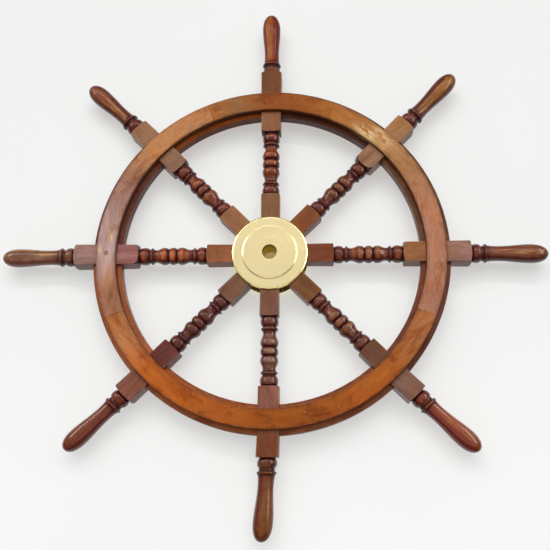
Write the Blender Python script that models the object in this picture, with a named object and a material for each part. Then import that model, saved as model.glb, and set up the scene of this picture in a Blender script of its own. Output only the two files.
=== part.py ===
"""Ship's steering wheel: eight turned spokes, a three-layer wooden rim and a brass hub.

The wheel stands upright in the XZ plane. Its turning axis is Y, its centre is the origin and
its front faces -Y. Lengths are in metres.
"""

import math

import bmesh
import bpy
from mathutils import Matrix, Vector

# Driving dimensions
TIP_RADIUS = 0.457
SPOKE_COUNT = 8
GAP = 0.0003

# Rim: a wide middle layer between a narrower front and rear layer
FACING_INNER_RADIUS = 0.257
FACING_OUTER_RADIUS = 0.2895
MIDDLE_INNER_RADIUS = 0.2495
MIDDLE_OUTER_RADIUS = 0.2978
RIM_HALF_DEPTH = 0.0245
MIDDLE_HALF_DEPTH = 0.0095
FELLOE_STEPS = 8

# Square stock of the spokes, slightly thicker towards the rim
STOCK_HALF_AT_HUB = 0.0153
STOCK_HALF_AT_RIM = 0.0176
STOCK_TAPER_START = 0.065
HUB_BLOCK_END = 0.106
RIM_BLOCK_START = 0.220
RIM_BLOCK_END = 0.331
SHOULDER_LENGTH = 0.006
SPOKE_SIDES = 12

# Turned length between the hub block and the rim block, symmetric about its small bead
BEAD_RADIUS = 0.0148
GROOVE_RADIUS = 0.0118
NECK_RADIUS = 0.0111
FILLET_RADIUS = 0.0139
FILLET_HALF_WIDTH = 0.0014
COVE_RADIUS = 0.0114
SMALL_BEAD_HALF = 0.0068
LARGE_BEAD_OFFSET = 0.0152
NECK_OFFSET = 0.029
FILLET_OFFSET = 0.0365
COVE_OFFSET = 0.0402
END_BEAD_OFFSET = 0.0490
END_BEAD_HALF = 0.0056
END_COVE_OFFSET = 0.0560
END_COVE_RADIUS = 0.0124

# Handle beyond the rim block
HANDLE_BEAD_RADIUS = 0.0158
HANDLE_BEAD_AT = 0.0075
HANDLE_NECK_RADIUS = 0.0128
HANDLE_NECK_AT = 0.0175
COLLAR_RADIUS = 0.0156
COLLAR_AT = 0.0235
GRIP_SLENDER_RADIUS = 0.0127
GRIP_SLENDER_AT = 0.044
GRIP_FULL_RADIUS = 0.0158
GRIP_FULL_AT = 0.098
TIP_FLAT_RADIUS = 0.0025
GRIP_STEPS = 3

# Brass hub
BORE_RADIUS = 0.012
SLEEVE_RADIUS = 0.020
PLATE_RADIUS = 0.0632
PLATE_THICKNESS = 0.004
PLATE_CHAMFER = 0.0015
BOSS_RADIUS = 0.045
BOSS_FOOT_RADIUS = 0.048
BOSS_HEIGHT = 0.0024
HUB_STEPS = 40
SLEEVE_STEPS = 24

# Fasteners
RIM_SCREW_AT = (FACING_INNER_RADIUS + FACING_OUTER_RADIUS) / 2
RIM_SCREW_RADIUS = 0.002
RIM_SCREW_HEAD_RADIUS = 0.0038
RIM_SCREW_HEAD_HEIGHT = 0.0014
RIM_SCREW_END = 0.021
PLUG_RADIUS = 0.0042
PLUG_RECESS_DEPTH = 0.0044
HUB_SCREW_AT = 0.0555
HUB_SCREW_RADIUS = 0.0018
HUB_SCREW_HEAD_RADIUS = 0.0038
HUB_SCREW_HEAD_DEPTH = 0.0024
HUB_SCREW_LENGTH = 0.018
FASTENER_SIDES = 12
HOLE_SIDES = 8

PITCH = 2 * math.pi / SPOKE_COUNT


def clear_scene():
    for obj in list(bpy.data.objects):
        bpy.data.objects.remove(obj, do_unlink=True)


def make_material(name, colour, roughness, metallic=0.0):
    material = bpy.data.materials.new(name)
    material.use_nodes = True
    shader = material.node_tree.nodes["Principled BSDF"]
    shader.inputs["Base Color"].default_value = (*colour, 1.0)
    shader.inputs["Roughness"].default_value = roughness
    shader.inputs["Metallic"].default_value = metallic
    return material


def loft(name, rings, closed=False):
    """A closed mesh through rings of equal vertex count, capped at its ends unless closed."""
    bm = bmesh.new()
    rows = [[bm.verts.new(point) for point in ring] for ring in rings]
    pairs = list(zip(rows, rows[1:]))
    if closed:
        pairs.append((rows[-1], rows[0]))
    else:
        bm.faces.new(rows[0])
        bm.faces.new(rows[-1])
    for low, high in pairs:
        for index in range(len(low)):
            after = (index + 1) % len(low)
            bm.faces.new((low[index], low[after], high[after], high[index]))
    bmesh.ops.recalc_face_normals(bm, faces=bm.faces)
    mesh = bpy.data.meshes.new(name)
    bm.to_mesh(mesh)
    bm.free()
    return mesh


def shade_round(mesh):
    mesh.shade_smooth()
    mesh.set_sharp_from_angle(angle=math.radians(35))


def circle(radius, y, steps):
    """A ring of points round the Y axis, with a flat rather than a corner towards +X."""
    turns = (2 * math.pi * (step + 0.5) / steps for step in range(steps))
    return [Vector((radius * math.cos(turn), y, radius * math.sin(turn))) for turn in turns]


def turned_on_axis(name, profile, steps, closed=False):
    """A solid turned round the Y axis from (radius, y) points."""
    return loft(name, [circle(radius, y, steps) for radius, y in profile], closed)


def stock_half(distance):
    """Half the width of a spoke's square stock at a distance from the wheel's centre."""
    span = RIM_BLOCK_END - STOCK_TAPER_START
    share = min(max((distance - STOCK_TAPER_START) / span, 0.0), 1.0)
    return STOCK_HALF_AT_HUB + share * (STOCK_HALF_AT_RIM - STOCK_HALF_AT_HUB)


def section(distance, half_x, half_y, radius=None):
    """One cross-section of a spoke along +Z: a rectangle, cut back to a turned radius."""
    points = []
    for side in range(SPOKE_SIDES):
        turn = 2 * math.pi * (side + 0.5) / SPOKE_SIDES
        across, deep = math.cos(turn), math.sin(turn)
        reach = max(abs(across), abs(deep))
        x, y = half_x * across / reach, half_y * deep / reach
        if radius is not None:
            limit = min(1.0, radius / math.hypot(x, y))
            x, y = x * limit, y * limit
        points.append(Vector((x, y, distance)))
    return points


def square_section(distance, radius=None):
    half = stock_half(distance)
    return section(distance, half, half, radius)


def round_section(distance, radius):
    return section(distance, 2 * radius, 2 * radius, radius)


def middle_turning():
    """(offset, radius) points from the small bead out to the end of the turned length."""
    return [
        (SMALL_BEAD_HALF * 0.5, BEAD_RADIUS),
        (SMALL_BEAD_HALF, GROOVE_RADIUS),
        (LARGE_BEAD_OFFSET - 0.0035, BEAD_RADIUS),
        (LARGE_BEAD_OFFSET + 0.0045, BEAD_RADIUS - 0.0006),
        (NECK_OFFSET, NECK_RADIUS),
        (FILLET_OFFSET - FILLET_HALF_WIDTH, FILLET_RADIUS),
        (FILLET_OFFSET + FILLET_HALF_WIDTH, FILLET_RADIUS),
        (COVE_OFFSET, COVE_RADIUS),
        (END_BEAD_OFFSET - END_BEAD_HALF / 2, BEAD_RADIUS - 0.0003),
        (END_BEAD_OFFSET + END_BEAD_HALF / 2, BEAD_RADIUS - 0.0003),
        (END_COVE_OFFSET, END_COVE_RADIUS),
    ]


def grip_radius(offset):
    """Radius of the long grip between its slender stretch and its full stretch."""
    share = (offset - GRIP_SLENDER_AT) / (GRIP_FULL_AT - GRIP_SLENDER_AT)
    eased = share * share * (3 - 2 * share)
    return GRIP_SLENDER_RADIUS + eased * (GRIP_FULL_RADIUS - GRIP_SLENDER_RADIUS)


def handle_turning():
    """(offset, radius) points from the rim block's outer end to the tip of the handle."""
    points = [
        (0.002, HANDLE_NECK_RADIUS),
        (HANDLE_BEAD_AT - 0.0025, HANDLE_BEAD_RADIUS - 0.0004),
        (HANDLE_BEAD_AT + 0.003, HANDLE_BEAD_RADIUS - 0.0004),
        (HANDLE_NECK_AT, HANDLE_NECK_RADIUS),
        (COLLAR_AT - 0.002, COLLAR_RADIUS),
        (COLLAR_AT + 0.001, COLLAR_RADIUS),
        (COLLAR_AT + 0.007, COLLAR_RADIUS - 0.0018),
    ]
    for step in range(GRIP_STEPS + 1):
        offset = GRIP_SLENDER_AT + step / GRIP_STEPS * (GRIP_FULL_AT - GRIP_SLENDER_AT)
        points.append((offset, grip_radius(offset)))
    tip_length = TIP_RADIUS - RIM_BLOCK_END - GRIP_FULL_AT
    for step in range(1, GRIP_STEPS + 1):
        turn = math.pi / 2 * step / (GRIP_STEPS + 1)
        points.append((GRIP_FULL_AT + tip_length * math.sin(turn), GRIP_FULL_RADIUS * math.cos(turn)))
    points.append((TIP_RADIUS - RIM_BLOCK_END, TIP_FLAT_RADIUS))
    return points


def shoulder(end, direction):
    """The lathe-rounded end of a square block, from the full square down to the turned part."""
    half = stock_half(end)
    corner = half * math.sqrt(2)
    return [
        square_section(end - direction * SHOULDER_LENGTH),
        square_section(end - direction * SHOULDER_LENGTH / 3, half + 0.72 * (corner - half)),
        square_section(end, half),
    ]


def spoke_mesh():
    """One spoke in one piece: mitred foot, hub block, turning, rim block and handle, along +Z."""
    foot = SLEEVE_RADIUS + GAP
    mitre = math.tan(PITCH / 2)
    clear = GAP / 2 / math.cos(PITCH / 2)
    mitre_end = (STOCK_HALF_AT_HUB + clear) / mitre
    rings = [
        section(foot, foot * mitre - clear, STOCK_HALF_AT_HUB),
        section(mitre_end, STOCK_HALF_AT_HUB, STOCK_HALF_AT_HUB),
        square_section(STOCK_TAPER_START),
    ]
    rings += shoulder(HUB_BLOCK_END, 1)
    centre = (HUB_BLOCK_END + RIM_BLOCK_START) / 2
    turning = middle_turning()
    rings += [round_section(centre - offset, radius) for offset, radius in reversed(turning)]
    rings += [round_section(centre + offset, radius) for offset, radius in turning]
    rings += reversed(shoulder(RIM_BLOCK_START, -1))
    rings += shoulder(RIM_BLOCK_END, 1)
    rings += [round_section(RIM_BLOCK_END + offset, radius) for offset, radius in handle_turning()]
    mesh = loft("spoke", rings)
    shade_round(mesh)
    return mesh


def arc_mesh(name, inner, outer, low_y, high_y, half_angle):
    """A felloe centred on +Z, as a rectangle swept round the wheel's axis."""
    rings = []
    for step in range(FELLOE_STEPS + 1):
        turn = half_angle * (2 * step / FELLOE_STEPS - 1)
        out = Vector((math.sin(turn), 0, math.cos(turn)))
        corners = ((inner, low_y), (outer, low_y), (outer, high_y), (inner, high_y))
        rings.append([out * radius + Vector((0, y, 0)) for radius, y in corners])
    mesh = loft(name, rings)
    shade_round(mesh)
    return mesh


def stock_cutter(turn=0.0):
    """The square stock with clearance, over the rim's whole width, turned about the Y axis."""
    ends = (MIDDLE_INNER_RADIUS - 0.02, MIDDLE_OUTER_RADIUS + 0.02)
    rings = [section(end, stock_half(end) + GAP, stock_half(end) + GAP) for end in ends]
    mesh = loft("stock_cutter", rings)
    mesh.transform(Matrix.Rotation(turn, 4, "Y"))
    return mesh


def hole_cutter(distance, profile, sides=HOLE_SIDES):
    """A turned cutter along Y, at a distance from the centre along +Z."""
    mesh = turned_on_axis("hole_cutter", profile, sides)
    mesh.transform(Matrix.Translation((0, 0, distance)))
    return mesh


def cut(mesh, cutters):
    """The mesh with each cutter taken away, as a new mesh."""
    body = bpy.data.objects.new("body", mesh)
    bpy.context.scene.collection.objects.link(body)
    tools = []
    for cutter in cutters:
        tool = bpy.data.objects.new("cutter", cutter)
        tool.hide_render = True
        tool.display_type = "WIRE"
        bpy.context.scene.collection.objects.link(tool)
        modifier = body.modifiers.new("cut", "BOOLEAN")
        modifier.operation = "DIFFERENCE"
        modifier.solver = "EXACT"
        modifier.object = tool
        tools.append(tool)
    graph = bpy.context.evaluated_depsgraph_get()
    result = bpy.data.meshes.new_from_object(body.evaluated_get(graph))
    result.name = mesh.name
    for helper in [body, *tools]:
        bpy.data.objects.remove(helper, do_unlink=True)
    return result


def cut_spoke():
    """The spoke with its rim screw hole right through and its hub screw hole from behind."""
    rim_hole = RIM_SCREW_RADIUS + GAP
    hub_hole = HUB_SCREW_RADIUS + GAP
    rear = STOCK_HALF_AT_HUB + PLATE_THICKNESS
    hub_bottom = STOCK_HALF_AT_HUB + GAP + PLATE_THICKNESS - HUB_SCREW_LENGTH - GAP
    return cut(spoke_mesh(), [
        hole_cutter(RIM_SCREW_AT, [(rim_hole, -RIM_HALF_DEPTH), (rim_hole, RIM_HALF_DEPTH)]),
        hole_cutter(HUB_SCREW_AT, [(hub_hole, hub_bottom), (hub_hole, rear)]),
    ])


def front_felloe():
    """A front felloe centred on a spoke, notched over it and bored for a screw and its plug."""
    blank = arc_mesh("front_felloe", FACING_INNER_RADIUS, FACING_OUTER_RADIUS, -RIM_HALF_DEPTH,
                     -MIDDLE_HALF_DEPTH - GAP, PITCH / 2 - GAP / 2 / FACING_INNER_RADIUS)
    recess = PLUG_RADIUS + GAP
    floor = PLUG_RECESS_DEPTH - RIM_HALF_DEPTH
    hole = RIM_SCREW_RADIUS + GAP
    return cut(blank, [
        stock_cutter(),
        hole_cutter(RIM_SCREW_AT, [(recess, -RIM_HALF_DEPTH - 0.002), (recess, floor),
                                   (hole, floor), (hole, 0.0)], FASTENER_SIDES),
    ])


def middle_felloe():
    """A middle felloe that fills the rim between two spokes, centred on +Z."""
    blank = arc_mesh("middle_felloe", MIDDLE_INNER_RADIUS, MIDDLE_OUTER_RADIUS,
                     -MIDDLE_HALF_DEPTH, MIDDLE_HALF_DEPTH, PITCH / 2)
    return cut(blank, [stock_cutter(-PITCH / 2), stock_cutter(PITCH / 2)])


def rear_felloe():
    """A rear felloe centred on a spoke, notched over it, with a blind pilot hole."""
    blank = arc_mesh("rear_felloe", FACING_INNER_RADIUS, FACING_OUTER_RADIUS,
                     MIDDLE_HALF_DEPTH + GAP, RIM_HALF_DEPTH,
                     PITCH / 2 - GAP / 2 / FACING_INNER_RADIUS)
    hole = RIM_SCREW_RADIUS + GAP
    pilot = hole_cutter(RIM_SCREW_AT, [(hole, 0.0), (hole, RIM_SCREW_END + GAP)])
    return cut(blank, [stock_cutter(), pilot])


def plate_profile():
    """Closed (radius, y) outline of a hub plate whose back lies on y = 0, facing -Y."""
    face = -PLATE_THICKNESS
    return [
        (BORE_RADIUS, 0.0),
        (BORE_RADIUS, face - BOSS_HEIGHT),
        (BOSS_RADIUS, face - BOSS_HEIGHT),
        (BOSS_FOOT_RADIUS, face),
        (PLATE_RADIUS - PLATE_CHAMFER, face),
        (PLATE_RADIUS, face + PLATE_CHAMFER),
        (PLATE_RADIUS, 0.0),
    ]


def front_plate():
    mesh = turned_on_axis("front_hub_plate", plate_profile(), HUB_STEPS, closed=True)
    mesh.transform(Matrix.Translation((0, -STOCK_HALF_AT_HUB - GAP, 0)))
    shade_round(mesh)
    return mesh


def hub_screw_profile(clearance=0.0):
    """(radius, y) outline of a countersunk hub screw, its head flush with the rear plate."""
    top = STOCK_HALF_AT_HUB + GAP + PLATE_THICKNESS
    shank = HUB_SCREW_RADIUS + clearance
    head = HUB_SCREW_HEAD_RADIUS + clearance
    return [
        (shank, top - HUB_SCREW_LENGTH),
        (shank, top - HUB_SCREW_HEAD_DEPTH),
        (head, top - clearance),
    ]


def rear_plate():
    """The rear plate mirrors the front one and is countersunk for a screw into each spoke."""
    mirrored = [(radius, -y) for radius, y in plate_profile()]
    mesh = turned_on_axis("rear_hub_plate", mirrored, HUB_STEPS, closed=True)
    mesh.transform(Matrix.Translation((0, STOCK_HALF_AT_HUB + GAP, 0)))
    cutters = []
    for index in range(SPOKE_COUNT):
        profile = hub_screw_profile(GAP)
        profile.append((profile[-1][0], STOCK_HALF_AT_HUB + 2 * PLATE_THICKNESS))
        cutter = hole_cutter(HUB_SCREW_AT, profile, FASTENER_SIDES)
        cutter.transform(Matrix.Rotation(index * PITCH, 4, "Y"))
        cutters.append(cutter)
    mesh = cut(mesh, cutters)
    shade_round(mesh)
    return mesh


def sleeve():
    """The brass sleeve that lines the hub between the two plates."""
    half = STOCK_HALF_AT_HUB
    profile = [(BORE_RADIUS, -half), (SLEEVE_RADIUS, -half), (SLEEVE_RADIUS, half), (BORE_RADIUS, half)]
    mesh = turned_on_axis("hub_sleeve", profile, SLEEVE_STEPS, closed=True)
    shade_round(mesh)
    return mesh


def rim_screw():
    """A screw from the plug recess through the spoke into the rear felloe."""
    seat = PLUG_RECESS_DEPTH - RIM_HALF_DEPTH - GAP
    profile = [
        (RIM_SCREW_HEAD_RADIUS, seat - RIM_SCREW_HEAD_HEIGHT),
        (RIM_SCREW_HEAD_RADIUS, seat),
        (RIM_SCREW_RADIUS, seat),
        (RIM_SCREW_RADIUS, RIM_SCREW_END - 0.004),
        (RIM_SCREW_RADIUS / 4, RIM_SCREW_END),
    ]
    return hole_cutter(RIM_SCREW_AT, profile)


def rim_plug():
    """The round wooden plug that hides a rim screw, flush with the front face."""
    inner = PLUG_RECESS_DEPTH - RIM_HALF_DEPTH - RIM_SCREW_HEAD_HEIGHT - 2 * GAP
    profile = [(PLUG_RADIUS, -RIM_HALF_DEPTH), (PLUG_RADIUS, inner)]
    return hole_cutter(RIM_SCREW_AT, profile, FASTENER_SIDES)


def hub_screw():
    return hole_cutter(HUB_SCREW_AT, hub_screw_profile())


def place(name, mesh, material, parent, turn=0.0):
    """Adds a named object of the wheel, turned about the wheel's axis."""
    obj = bpy.data.objects.new(name, mesh)
    bpy.context.scene.collection.objects.link(obj)
    if not mesh.materials:
        mesh.materials.append(material)
    obj.rotation_euler = (0.0, turn, 0.0)
    obj.parent = parent
    return obj


def place_round(name, mesh, material, parent, first_turn=0.0):
    """Adds the copies of a piece round the wheel, numbered clockwise from the top."""
    for index in range(SPOKE_COUNT):
        place(f"{name}_{index + 1}", mesh, material, parent, first_turn + index * PITCH)


def build():
    clear_scene()
    wheel = bpy.data.objects.new("wheel", None)
    bpy.context.scene.collection.objects.link(wheel)

    spoke_wood = make_material("spoke_wood", (0.20, 0.055, 0.025), 0.3)
    facing_wood = make_material("facing_wood", (0.36, 0.13, 0.045), 0.35)
    middle_wood = make_material("middle_wood", (0.22, 0.07, 0.035), 0.4)
    plug_wood = make_material("plug_wood", (0.28, 0.11, 0.06), 0.45)
    brass = make_material("brass", (0.84, 0.68, 0.36), 0.22, 1.0)
    screw_brass = make_material("screw_brass", (0.70, 0.54, 0.28), 0.35, 1.0)
    steel = make_material("screw_steel", (0.55, 0.55, 0.55), 0.4, 1.0)

    place_round("spoke", cut_spoke(), spoke_wood, wheel)
    place_round("front_felloe", front_felloe(), facing_wood, wheel)
    place_round("middle_felloe", middle_felloe(), middle_wood, wheel, PITCH / 2)
    place_round("rear_felloe", rear_felloe(), facing_wood, wheel)
    place_round("rim_screw", rim_screw(), steel, wheel)
    place_round("rim_plug", rim_plug(), plug_wood, wheel)
    place("hub_sleeve", sleeve(), brass, wheel)
    place("front_hub_plate", front_plate(), brass, wheel)
    place("rear_hub_plate", rear_plate(), brass, wheel)
    place_round("hub_screw", hub_screw(), screw_brass, wheel)


build()
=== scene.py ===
"""Ship's steering wheel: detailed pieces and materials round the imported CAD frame.

The wheel stands upright in the XZ plane, turns about Y and faces -Y. Lengths are in metres.
"""

import math

import bmesh
import bpy
from mathutils import Matrix, Vector


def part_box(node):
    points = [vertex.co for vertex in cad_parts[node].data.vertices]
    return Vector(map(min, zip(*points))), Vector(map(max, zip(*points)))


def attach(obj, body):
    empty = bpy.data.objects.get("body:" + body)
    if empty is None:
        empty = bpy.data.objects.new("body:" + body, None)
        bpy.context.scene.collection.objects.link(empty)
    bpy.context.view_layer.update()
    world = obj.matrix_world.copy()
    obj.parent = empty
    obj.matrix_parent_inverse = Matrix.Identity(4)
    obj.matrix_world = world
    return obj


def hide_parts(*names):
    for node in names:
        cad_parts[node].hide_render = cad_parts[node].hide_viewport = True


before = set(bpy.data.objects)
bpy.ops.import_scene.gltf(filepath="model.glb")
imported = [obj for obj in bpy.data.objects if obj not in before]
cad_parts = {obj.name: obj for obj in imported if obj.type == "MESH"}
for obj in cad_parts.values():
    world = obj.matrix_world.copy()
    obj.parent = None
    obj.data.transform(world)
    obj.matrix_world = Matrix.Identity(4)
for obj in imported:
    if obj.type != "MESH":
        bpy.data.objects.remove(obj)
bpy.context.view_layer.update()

COUNT = 8
PITCH = 2 * math.pi / COUNT
MM = 0.001
CORNERS = ((-1, -1), (1, -1), (1, 1), (-1, 1))

# Rim layers, as packed
FACING_INNER, FACING_OUTER = 0.257, 0.2895
MIDDLE_INNER, MIDDLE_OUTER = 0.2495, 0.2978
RIM_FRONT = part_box("front_felloe_1")[0].y
RIM_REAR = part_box("rear_felloe_1")[1].y
MIDDLE_FRONT, MIDDLE_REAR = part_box("middle_felloe_1")[0].y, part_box("middle_felloe_1")[1].y
LAYER_GAP = 0.00012
FACING_ARRIS = 0.0017
MIDDLE_ARRIS = 0.0009
ARC_STEPS = 32
# Gap at each joint, and how far the felloes' ends are eased where a joint of the front layer
# shows as a line, by the felloe before it
TIGHT_JOINT = 0.00012
OPEN_JOINTS = {3: 0.00055, 6: 0.0006, 8: 0.0007}
# Distance of the rim's screws and plugs, the plugs and their holes, and the plug that shows its
# own colour
FASTENER_AT = (FACING_INNER + FACING_OUTER) / 2
PLUG_RADIUS, PLUG_DEPTH, PLUG_GAP, SCREW_HOLE = 0.0042, 0.0044, 0.00015, 0.0023
VISIBLE_PLUG = 6

# Spokes: square stock, slightly thicker towards the rim
STOCK_AT_HUB, STOCK_AT_RIM, TAPER_START = 0.0153, 0.0176, 0.065
STOCK_ARRIS = 0.0009
HUB_BLOCK_END, RIM_BLOCK_START, RIM_BLOCK_END = 0.106, 0.220, 0.331
HUB_FOOT, RIM_FOOT = 0.0130, 0.0134
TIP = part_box("spoke_1")[1].z
SLEEVE_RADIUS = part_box("hub_sleeve")[1].x
# Length of each hand-cut shoulder, spoke by spoke
HUB_SHOULDERS = (2.0, 2.5, 2.0, 3.0, 2.0, 3.5, 3.0, 2.0)
INNER_SHOULDERS = (4.0, 10.0, 3.0, 2.0, 1.5, 3.0, 7.5, 4.5)
OUTER_SHOULDERS = (9.0, 3.0, 3.0, 2.5, 1.2, 3.0, 5.0, 3.5)
LONG_BLOCK = 0.0075
# Creases of the turning, darkened by gathered stain and painted shade, and how far it spreads
CREASES = (107.0, 122.6, 129.4, 156.5, 170.7, 196.2, 202.7, 219.3, 332.2, 348.4, 350.8, 357.4)
CREASE_WIDTH = 2.8
# Where the turning is lighter, worn stain with a painted highlight, and darker between as painted
# shade: distance and how much
CROWNS = ((114.4, 0.40), (126.6, 0.35), (139.5, 0.55), (148.4, 1.0), (163.6, 1.0), (178.8, 1.0),
          (187.5, 0.55), (198.7, 0.35), (211.2, 0.40))
CROWN_WIDTH = 6.4
# The same beyond the rim, where the handle's own stain shows through, also partly a painted
# highlight, and how much by spoke
OUTER_CROWNS = ((339.6, 0.9), (344.0, 0.9), (354.0, 1.0))
WARM_COLLARS = (0.25, 0.20, 0.30, 0.55, 0.75, 0.75, 0.65, 0.15)
# Where the grip starts, where its dark neck ends, and where its tip darkens
GRIP_START, NECK_DARK, TIP_DARK = (0.3545, 0.3575), (0.357, 0.374), (0.436, 0.456)
# Where the painted highlight band lies round each grip, shaded to its sides, in degrees clockwise
# of its front, and how streaky
GRIP_LIT_BANDS = (-14, 19, 0, -27, -21, 15, 14, -10)
GRIP_STREAKS = (0.5, 0.7, 0.8, 0.4, 0.3, 0.15, 0.9, 0.7)
# How far each handle's tip stands clockwise of its spoke's line, in millimetres
HANDLE_LEANS = (-2.0, -4.8, 1.9, -6.0, 9.5, 3.9, -1.0, -5.4)
# How dark each grip's tip is, and how thick its varnish lies, against that on the beads
DARK_TIPS = (0.8, 0.5, 0.6, 0.1, 0.6, 0.55, 0.2, 0.4)
GRIP_VARNISH = (0.25, 0.75, 1.0, 1.4, 0.75, 1.4, 1.2, 0.75)

# Hub
BORE = 0.012
PLATE_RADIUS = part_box("front_hub_plate")[1].x
PLATE_BACK = -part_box("front_hub_plate")[1].y
PLATE_FACE = PLATE_BACK + 0.004
BOSS_FACE = -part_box("front_hub_plate")[0].y
SCREW_AT, SCREW_HEAD, SCREW_SHANK, SCREW_LENGTH = 0.0555, 0.0038, 0.0018, 0.018


# ------------------------ meshes

def new_object(name, data):
    """A new object, linked into the scene."""
    made = bpy.data.objects.new(name, data)
    bpy.context.scene.collection.objects.link(made)
    return made


def mesh_of(name, rows, closed_rows=False):
    """A mesh through rows of equal length, each row a closed ring."""
    bm = bmesh.new()
    made = [[bm.verts.new(point) for point in row] for row in rows]
    pairs = list(zip(made, made[1:]))
    if closed_rows:
        pairs.append((made[-1], made[0]))
    else:
        bm.faces.new(made[0])
        bm.faces.new(made[-1])
    for low, high in pairs:
        for index in range(len(low)):
            after = (index + 1) % len(low)
            bm.faces.new((low[index], low[after], high[after], high[index]))
    bmesh.ops.recalc_face_normals(bm, faces=bm.faces)
    mesh = bpy.data.meshes.new(name)
    bm.to_mesh(mesh)
    bm.free()
    return mesh


def cut(mesh, cutters):
    """The mesh with each cutter mesh taken away."""
    body = new_object("body", mesh)
    tools = []
    for cutter in cutters:
        tool = new_object("tool", cutter)
        change = body.modifiers.new("cut", "BOOLEAN")
        change.solver = "EXACT"
        change.object = tool
        tools.append(tool)
    graph = bpy.context.evaluated_depsgraph_get()
    result = bpy.data.meshes.new_from_object(body.evaluated_get(graph))
    for helper in [body, *tools]:
        bpy.data.objects.remove(helper, do_unlink=True)
    return result


def paint(mesh, **layers):
    """Stores each layer's number, vector or colour for each vertex."""
    for name, values in layers.items():
        width = 1 if isinstance(values[0], float) else len(values[0])
        kind, field = {1: ("FLOAT", "value"), 3: ("FLOAT_VECTOR", "vector"),
                       4: ("FLOAT_COLOR", "color")}[width]
        layer = mesh.attributes.new(name, kind, "POINT")
        flat = values if width == 1 else [number for value in values for number in value]
        layer.data.foreach_set(field, flat)


def smooth_step(low, high, value):
    share = min(max((value - low) / (high - low), 0.0), 1.0)
    return share * share * (3 - 2 * share)


def mixed_stain(first, second, share):
    return tuple(a + (b - a) * share for a, b in zip(first, second))


def finish_piece(name, mesh, material, turn, nodes, angle=32):
    """Turns a mesh into its place round the axis and hands it to the frame."""
    mesh.transform(Matrix.Rotation(turn, 4, "Y"))
    mesh.shade_smooth()
    mesh.set_sharp_from_angle(angle=math.radians(angle))
    mesh.name = name
    mesh.materials.clear()
    mesh.materials.append(material)
    piece = new_object(name, mesh)
    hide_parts(*nodes)
    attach(piece, "root")


# ------------------------ spokes

def section_angles():
    """Angles round a square section, close together at its corners."""
    degrees = [0, 10, 19, 27.5, 34.5, 39.5, 42.4, 43.4, 43.95, 44.5]
    half = [math.radians(angle) for angle in degrees]
    side = half + [math.radians(45)] + [math.pi / 2 - angle for angle in reversed(half[1:])]
    return [quarter * math.pi / 2 + angle for quarter in range(4) for angle in side]


ANGLES = section_angles()


def stock_half(distance):
    share = (distance - TAPER_START) / (RIM_BLOCK_END - TAPER_START)
    return STOCK_AT_HUB + min(max(share, 0.0), 1.0) * (STOCK_AT_RIM - STOCK_AT_HUB)


def square_reach(half, angle):
    """Distance from the centre to a square's outline with rounded corners."""
    across, deep = sorted((abs(math.cos(angle)), abs(math.sin(angle))), reverse=True)
    flat = half - STOCK_ARRIS
    if half * deep / across <= flat:
        return half / across
    along = (across + deep) * flat
    return along + math.sqrt(along * along - 2 * flat * flat + STOCK_ARRIS * STOCK_ARRIS)


def ring_at(points):
    """A row from (angle, reach, distance) triples."""
    return [Vector((reach * math.cos(angle), reach * math.sin(angle), distance))
            for angle, reach, distance in points]


def square_row(distance, squeeze=1.0):
    row = ring_at((angle, square_reach(stock_half(distance), angle), distance) for angle in ANGLES)
    return [Vector((point.x * squeeze, point.y, point.z)) for point in row]


def round_row(distance, radius):
    return ring_at((angle, radius, distance) for angle in ANGLES)


def shoulder_rows(end, length, foot, direction):
    """The lathe-rounded end of a block, from its faces down to the turned foot."""
    corner = square_reach(stock_half(end), math.pi / 4)
    start = end - direction * length
    low = start - direction * 0.3 * MM
    rows = [square_row(start - direction * 2 * MM), square_row(low)]
    crease = {}
    for angle in ANGLES:
        reach = square_reach(stock_half(end), angle)
        crease[angle] = math.acos(min((reach - foot) / (corner - foot), 1.0))
    for share in (0.5, 0.97, 1.0):
        points = []
        for angle in ANGLES:
            edge = end - direction * length * (1 - math.sin(crease[angle]))
            distance = low + (edge - low) * share
            points.append((angle, square_reach(stock_half(distance), angle), distance))
        rows.append(ring_at(points))
    for share in (0.08, 0.3, 0.55, 0.8, 1.0):
        points = []
        for angle in ANGLES:
            turn = crease[angle] + (math.pi / 2 - crease[angle]) * share
            distance = end - direction * length * (1 - math.sin(turn))
            points.append((angle, foot + (corner - foot) * math.cos(turn), distance))
        rows.append(ring_at(points))
    return rows


def turned(stations):
    """(distance, radius) points along (distance, radius, kind) stations. Each kind shapes the
    run that leads up to its station: crown swells, cove hollows, ease eases, line is straight."""
    points = [stations[0][:2]]
    for (start, from_radius, _), (stop, to_radius, kind) in zip(stations, stations[1:]):
        steps = {"line": 1, "ease": 8}.get(kind, 6)
        high, low = max(from_radius, to_radius), min(from_radius, to_radius)
        for step in range(1, steps + 1):
            share = step / steps
            falls = from_radius > to_radius
            if kind == "crown":
                angle = share * math.pi / 2
                away = math.sin(angle) if falls else math.cos(angle)
                radius = low + (high - low) * math.sqrt(max(0.0, 1 - away * away))
                share = away if falls else 1 - away
            elif kind == "cove":
                angle = share * math.pi / 2
                away = 1 - math.cos(angle) if falls else 1 - math.sin(angle)
                radius = high - (high - low) * math.sqrt(max(0.0, 1 - (1 - away) ** 2))
                share = away if falls else 1 - away
            else:
                eased = share * share * (3 - 2 * share) if kind == "ease" else share
                radius = from_radius + (to_radius - from_radius) * eased
            points.append((start + (stop - start) * share, radius))
    return points


def in_metres(points):
    return [(first * MM, second * MM, *kind) for first, second, *kind in points]


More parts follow.
